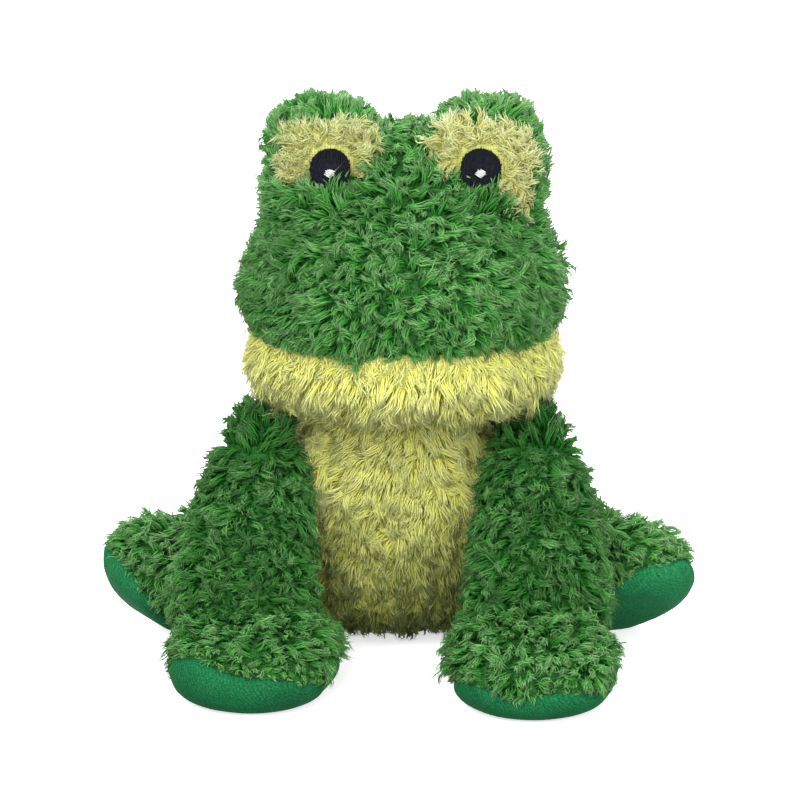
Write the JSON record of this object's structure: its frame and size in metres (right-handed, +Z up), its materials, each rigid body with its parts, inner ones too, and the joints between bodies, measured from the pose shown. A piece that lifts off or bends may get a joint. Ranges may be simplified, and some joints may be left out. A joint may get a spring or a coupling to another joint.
{
  "type": "plush frog",
  "caption": "Seated plush frog in curly green and yellow pile, with raised eye mounds, a wide muzzle over a pale jaw, stubby limbs and velour soles.",
  "frame": {"origin": "centre of the flat seat under the torso, on the plane that the frog stands on", "axes": "+Z up, the frog faces -Y and its own left side is +X"},
  "size_m": [0.2592, 0.2048, 0.2468],
  "materials": {
    "green_pile": "matte",
    "yellow_pile": "matte",
    "green_velour": "matte",
    "black_felt": "matte",
    "white_thread": "satin",
    "white_fibre": "matte",
    "bag_cloth": "matte"
  },
  "bodies": {
    "torso": {"torso_back": "green_pile", "torso_belly": "yellow_pile", "torso_filling": "white_fibre", "seat_pellet_bag": "bag_cloth"},
    "head": {"head_upper": "green_pile", "head_nape": "green_pile", "head_jaw": "yellow_pile", "head_filling": "white_fibre", "eye_mound_left": "green_pile", "eye_patch_left": "yellow_pile", "pupil_left": "black_felt", "pupil_highlight_left": "white_thread", "eye_mound_right": "green_pile", "eye_patch_right": "yellow_pile", "pupil_right": "black_felt", "pupil_highlight_right": "white_thread"},
    "arm_left": {"arm_left": "green_pile", "front_foot_upper_left": "green_pile", "front_foot_sole_left": "green_velour", "arm_filling_left": "white_fibre"},
    "leg_left": {"leg_left": "green_pile", "hind_foot_upper_left": "green_pile", "hind_foot_sole_left": "green_velour", "leg_filling_left": "white_fibre"},
    "arm_right": {"arm_right": "green_pile", "front_foot_upper_right": "green_pile", "front_foot_sole_right": "green_velour", "arm_filling_right": "white_fibre"},
    "leg_right": {"leg_right": "green_pile", "hind_foot_upper_right": "green_pile", "hind_foot_sole_right": "green_velour", "leg_filling_right": "white_fibre"}
  },
  "joints": [
    {"name": "head_turn", "type": "hinge", "parent": "torso", "child": "head", "pos_m": [0.004, -0.018, 0.11], "axis": [0, 0, 1], "range_deg": [-30, 30]},
    {"name": "arm_left_lift", "type": "hinge", "parent": "torso", "child": "arm_left", "pos_m": [0.054, -0.035, 0.104], "axis": [0, -1, 0], "range_deg": [0, 30]},
    {"name": "arm_right_lift", "type": "hinge", "parent": "torso", "child": "arm_right", "pos_m": [-0.054, -0.035, 0.104], "axis": [0, 1, 0], "range_deg": [0, 30]},
    {"name": "leg_left_roll", "type": "hinge", "parent": "torso", "child": "leg_left", "pos_m": [0.048, 0.006, 0.029], "axis": [1, 0, 0], "range_deg": [-25, 25]},
    {"name": "leg_right_roll", "type": "hinge", "parent": "torso", "child": "leg_right", "pos_m": [-0.048, 0.006, 0.029], "axis": [1, 0, 0], "range_deg": [-25, 25]}
  ]
}
